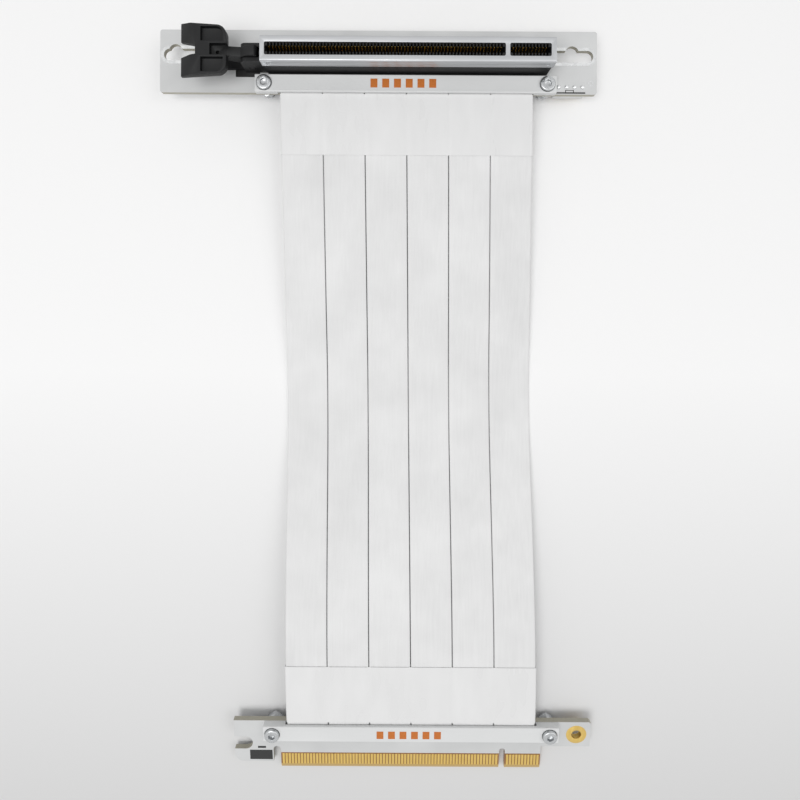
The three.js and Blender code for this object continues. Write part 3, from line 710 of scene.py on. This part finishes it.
def makeLands():
    made = []
    for side, bump in zip((-1, 1), lands["bumps"]):
        for low, high in ((boardTop + lands["proud"], boardTop + boards["skin"] + lands["proud"]),
                          (-boards["skin"] - lands["proud"], -lands["proud"])):
            outerEnds = sorted((side * (lands["inner"] - lands["margin"]), side * lands["rim"]))
            innerEnds = sorted((side * lands["inner"], side * lands["edge"]))
            plate = stadium(*outerEnds, lands["y"], lands["half"] + lands["margin"], low, high)
            hole = stadium(*innerEnds, lands["y"], lands["half"] - lands["overlap"], low - 1, high + 1)
            cut(plate, hole)
            cut(plate, addDrum((bump, lands["bumpY"], low), lands["bumpRadius"] - lands["overlap"], 3, 40))
            made.append(plate)
    obj = joined(made)
    softenEdges(obj, 0.02)
    applyModifiers(obj)
    return finishPiece(obj, "mounting_lands", "tin", slotPlace)


makeLands()
print("lands tinned")


# Socket screws with a knurled head and a cut thread; one is modelled for each length
screw = {"headRadius": 2.35, "headHeight": 1.5, "dome": 0.3, "flats": 2.0, "socket": 0.9, "major": 1.25,
         "minor": 1.02, "pitch": 0.45, "knurls": 36, "knurlDepth": 0.025, "plain": 0.6, "around": 20,
         "seatHeight": 1.85, "gaps": 0.04, "slotLength": 10, "plugLength": 6,
         "slotSeats": (("slot_screw_left", -35.95, 2.4), ("slot_screw_right", 53.35, 2.4)),
         "plugSeats": (("plug_screw_left", 13.0, 14.2), ("plug_screw_right", 102.3, 14.2))}


def makeScrew(length):
    turns = int((length - screw["plain"] - 0.3) / screw["pitch"])
    around = screw["around"]
    major, minor = screw["major"], screw["minor"]
    profile = ((0.0, major), (0.12, major), (0.5, minor), (0.62, minor))  # crest, flank and root
    points, faces, rows = [], [], []
    steps = turns * around
    for i in range(steps + 1):
        angle = 2 * math.pi * i / around
        z = -screw["plain"] - screw["pitch"] * i / around
        row = []
        for share, radius in profile:
            row.append(len(points))
            points.append((radius * math.cos(angle), radius * math.sin(angle), z - share * screw["pitch"]))
        rows.append(row)
    for a, b in zip(rows, rows[1:]):
        for k in range(3):
            faces.append((a[k], a[k + 1], b[k + 1], b[k]))
    for i in range(steps - around):
        a, b = rows[i], rows[i + 1]
        c, d = rows[i + around], rows[i + around + 1]
        faces.append((a[3], c[0], d[0], b[3]))
    thread = meshPiece("thread", points, faces)
    core = addDrum((0, 0, -length / 2 + 0.05), minor - 0.02, length - 0.1, 24)
    neck = addDrum((0, 0, -screw["plain"] / 2), major, screw["plain"] + 0.1, 24)
    tip = addDrum((0, 0, -length + 0.2), minor + 0.02, 0.4, 24)
    softenEdges(tip, 0.12)
    applyModifiers(tip)
    high = screw["headHeight"]
    head = addDrum((0, 0, high / 2), screw["headRadius"], high, screw["knurls"] * 2)
    bm = bmesh.new()
    bm.from_mesh(head.data)
    for vertex in bm.verts:
        step = round(math.atan2(vertex.co.y, vertex.co.x) / (math.pi / screw["knurls"]))
        if step % 2:
            vertex.co.x *= 1 - screw["knurlDepth"]
            vertex.co.y *= 1 - screw["knurlDepth"]
    bm.to_mesh(head.data)
    bm.free()
    softenEdges(head, screw["dome"], 3, 50)
    applyModifiers(head)
    cut(head, addDrum((0, 0, high), screw["flats"] / math.sqrt(3), 2 * screw["socket"], 6))
    softenEdges(head, 0.05, 2, 50)
    applyModifiers(head)
    obj = joined([head, thread, core, neck, tip])
    smoothFaces(obj, 40)
    return obj


def setScrews(length, base, seats):
    model = makeScrew(length)
    headSeat = boardTop + screw["seatHeight"] + screw["gaps"]
    for node, x, y in seats:
        finishPiece(copied(model, Matrix.Translation((x, y, headSeat))), f"{node}_threaded", "nickel",
                    base, "cable", [node])
    bpy.data.objects.remove(model)


setScrews(screw["slotLength"], slotPlace, screw["slotSeats"])
setScrews(screw["plugLength"], plugPlace, screw["plugSeats"])
print("screws set")


# Solder points of the header's pins, and the small ringed pad beside them
solder = {"pins": [61.35 + (i - 1.5) * 2.54 for i in range(4)], "y": 2.4, "radius": 0.75, "height": 0.55,
          "pad": (67.7, 3.55), "padOuter": 0.82, "padInner": 0.5, "padThick": 0.08, "padZ": 1.62}


def makeSolder():
    made = []
    for x in solder["pins"]:
        clearSelection()
        bpy.ops.mesh.primitive_uv_sphere_add(segments=20, ring_count=12, radius=1,
                                             location=(x, solder["y"], boardTop))
        dot = bpy.context.active_object
        dot.scale = (solder["radius"], solder["radius"], solder["height"])
        bpy.ops.object.transform_apply(location=True, rotation=True, scale=True)
        made.append(dot)
    x, y = solder["pad"]
    pad = addDrum((x, y, solder["padZ"]), solder["padOuter"], solder["padThick"], 32)
    cut(pad, addDrum((x, y, solder["padZ"]), solder["padInner"], 1, 24))
    made.append(pad)
    obj = joined(made)
    smoothFaces(obj, 40)
    return finishPiece(obj, "header_solder", "tin", slotPlace)


makeSolder()


# Screen-printed marks: plain blocks and lines of ink
prints = {
    "thickness": 0.03, "soften": 0.012, "barTop": boardTop + 0.02 + 2.4, "blocks": 6, "blockPitch": 3.7,
    "blockWidth": 2.2,
    "slotBoard": [(-45.5, 5.0, -37.7, 8.1), (56.1, 0.3, 66.0, 0.75), (59.6, 0.75, 59.85, 1.25),
                  (62.1, 0.75, 62.35, 1.25), (59.6, 1.25, 62.35, 1.45)],
    "plugBoard": [(4.9, 2.0, 12.3, 5.65), (7.6, 6.4, 10.2, 7.15)],
    "slotBar": (-2.4, 1.0, 3.8), "plugBar": (46.6, 12.8, 15.6),
}


def barBlocks(left, low, high):
    starts = [left + i * prints["blockPitch"] for i in range(prints["blocks"])]
    return [(x, low, x + prints["blockWidth"], high) for x in starts]


def printed(name, marks, material, place, top):
    made = []
    for x0, y0, x1, y1 in marks:
        mark = addBlock((x0, y0, top), (x1, y1, top + prints["thickness"]))
        softenEdges(mark, prints["soften"])
        applyModifiers(mark)
        made.append(mark)
    return finishPiece(joined(made), name, material, place)


printed("slot_board_print", prints["slotBoard"], "blackInk", slotPlace, boardTop)
printed("plug_board_print", prints["plugBoard"], "blackInk", plugPlace, boardTop)
printed("slot_bar_print", barBlocks(*prints["slotBar"]), "orangeInk", slotPlace, prints["barTop"])
printed("plug_bar_print", barBlocks(*prints["plugBar"]), "orangeInk", plugPlace, prints["barTop"])
print("marks printed")


# Table and light
# The table's colour runs from near to far: painted shade, darker towards the camera's near side, standing in
# for the light falling off across the table
table = {"size": 3.0, "below": 0.00005, "near": "#D8D8D8", "far": "#FEFEFE", "nearY": -0.135, "farY": 0.01}
light = {
    "top": {"place": (-0.35, -0.25, 1.2), "size": 0.8, "power": 6.5},
    "side": {"place": (0.8, 0.0, 0.9), "size": 0.9, "power": 2.0},
    "world": 0.5, "mirrored": 0.92,  # metal mirrors the pale studio, brighter than it lights
}


def makeTable():
    clearSelection()
    bpy.ops.mesh.primitive_plane_add(size=table["size"], location=(0, 0, -table["below"]))
    obj = bpy.context.active_object
    bpy.ops.object.transform_apply(location=True, rotation=True, scale=True)
    obj.name = "table"
    material, shader = newMaterial("matt_white_table_with_painted_falloff", Roughness=0.8)
    depth = addNode(material, "ShaderNodeSeparateXYZ", {}, {"Vector": stretched(material, (1, 1, 1))})
    # Painted shade: the table's colour darkens from far to near along Y
    along = addNode(material, "ShaderNodeMapRange", {}, {
        "Value": depth.outputs["Y"], "From Min": table["nearY"], "From Max": table["farY"]})
    tone = twoTone(material, along.outputs["Result"], table["near"], table["far"])
    setInput(material, shader, "Base Color", tone.outputs["Color"])
    obj.data.materials.append(material)


def addLamp(name, place, size, power):
    data = bpy.data.lights.new(name, "AREA")
    data.shape = "DISK"
    data.size = size
    data.energy = power
    obj = bpy.data.objects.new(name, data)
    obj.location = place
    obj.rotation_euler = Vector(place).to_track_quat("Z", "Y").to_euler()
    bpy.context.scene.collection.objects.link(obj)


makeTable()
for side in ("top", "side"):
    addLamp(f"{side}_lamp", **light[side])
world = bpy.data.worlds.new("studio")
bpy.context.scene.world = world
world.use_nodes = True
seen = world.node_tree.nodes.new("ShaderNodeLightPath")
level = world.node_tree.nodes.new("ShaderNodeMapRange")
level.inputs["To Min"].default_value = light["world"]
level.inputs["To Max"].default_value = light["mirrored"]
world.node_tree.links.new(seen.outputs["Is Glossy Ray"], level.inputs["Value"])
world.node_tree.links.new(level.outputs["Result"], world.node_tree.nodes["Background"].inputs["Strength"])
world.node_tree.nodes["Background"].inputs["Color"].default_value = (1, 1, 1, 1)
print("lit")
